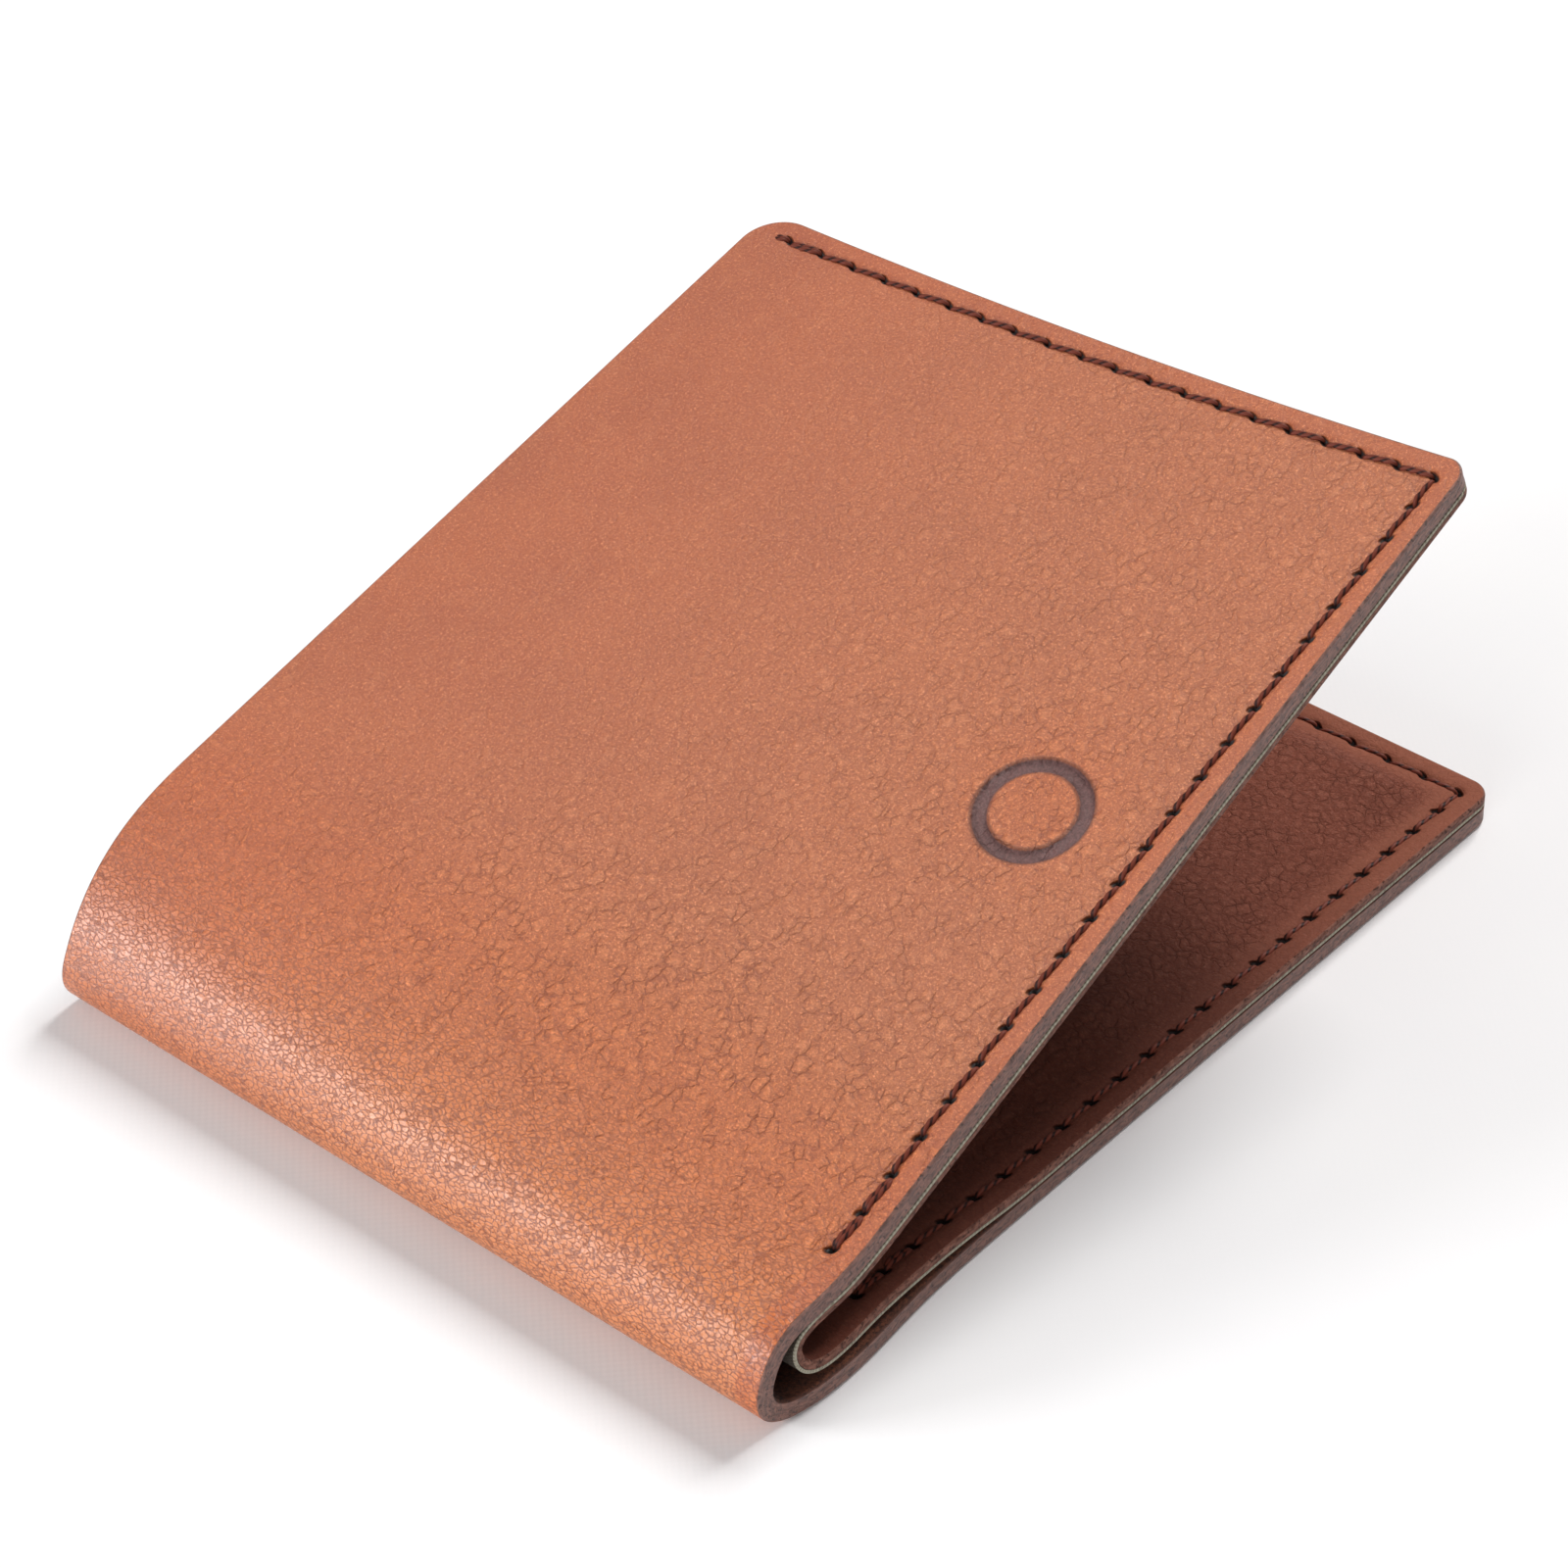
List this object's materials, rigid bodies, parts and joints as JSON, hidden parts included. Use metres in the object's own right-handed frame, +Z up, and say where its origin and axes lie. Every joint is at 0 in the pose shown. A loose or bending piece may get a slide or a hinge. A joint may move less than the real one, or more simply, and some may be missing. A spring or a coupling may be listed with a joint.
{
  "type": "bifold wallet",
  "caption": "Stitched leather bifold wallet, sprung half open: two covers on a folding spine, a bill compartment behind the liner and stepped card pockets inside.",
  "frame": {"origin": "centre of the wallet's footprint, on the table plane that the rear cover's outer face lies on", "axes": "+X from the folding spine to the free side edge, +Y along the spine from the stitched bottom edge to the bill compartment's mouth, +Z up from the rear cover"},
  "size_m": [0.113, 0.09, 0.0489],
  "materials": {
    "outer_leather": "warm tan vegetable-tanned leather, fine grain, dark burnished edges",
    "inner_leather": "reddish brown pebbled leather",
    "pocket_leather": "thin reddish brown leather with a creased mouth edge",
    "lining_fabric": "grey-green backing cloth",
    "thread": "waxed twisted thread, dark burgundy brown"
  },
  "bodies": {
    "rear": {"rear_outer_panel": "outer_leather", "rear_lining": "lining_fabric", "rear_inner_panel": "inner_leather", "rear_card_pocket_middle": "pocket_leather", "rear_card_pocket_upper": "pocket_leather", "rear_outer_stitches": "thread", "rear_inner_stitches": "thread", "rear_pocket_stitches": "thread"},
    "front": {"front_outer_panel": "outer_leather", "front_lining": "lining_fabric", "front_inner_panel": "inner_leather", "front_card_pocket_middle": "pocket_leather", "front_card_pocket_upper": "pocket_leather", "front_outer_stitches": "thread", "front_inner_stitches": "thread", "front_pocket_stitches": "thread"},
    "spine": {"spine_outer": "outer_leather", "spine_lining": "lining_fabric", "spine_inner": "inner_leather"}
  },
  "joints": [
    {"name": "spine_fold", "type": "hinge", "parent": "rear", "child": "spine", "pos_m": [-0.05428, 0, 0.00156], "axis": [0, -1, 0], "range_deg": [-8, 79]},
    {"name": "front_fold", "type": "hinge", "parent": "spine", "child": "front", "pos_m": [-0.05558, 0, 0.00992], "axis": [0, -1, 0], "range_deg": [-8, 79]}
  ],
  "couplings": [
    {"joint": "front_fold", "follows": "spine_fold", "ratio": 1}
  ]
}
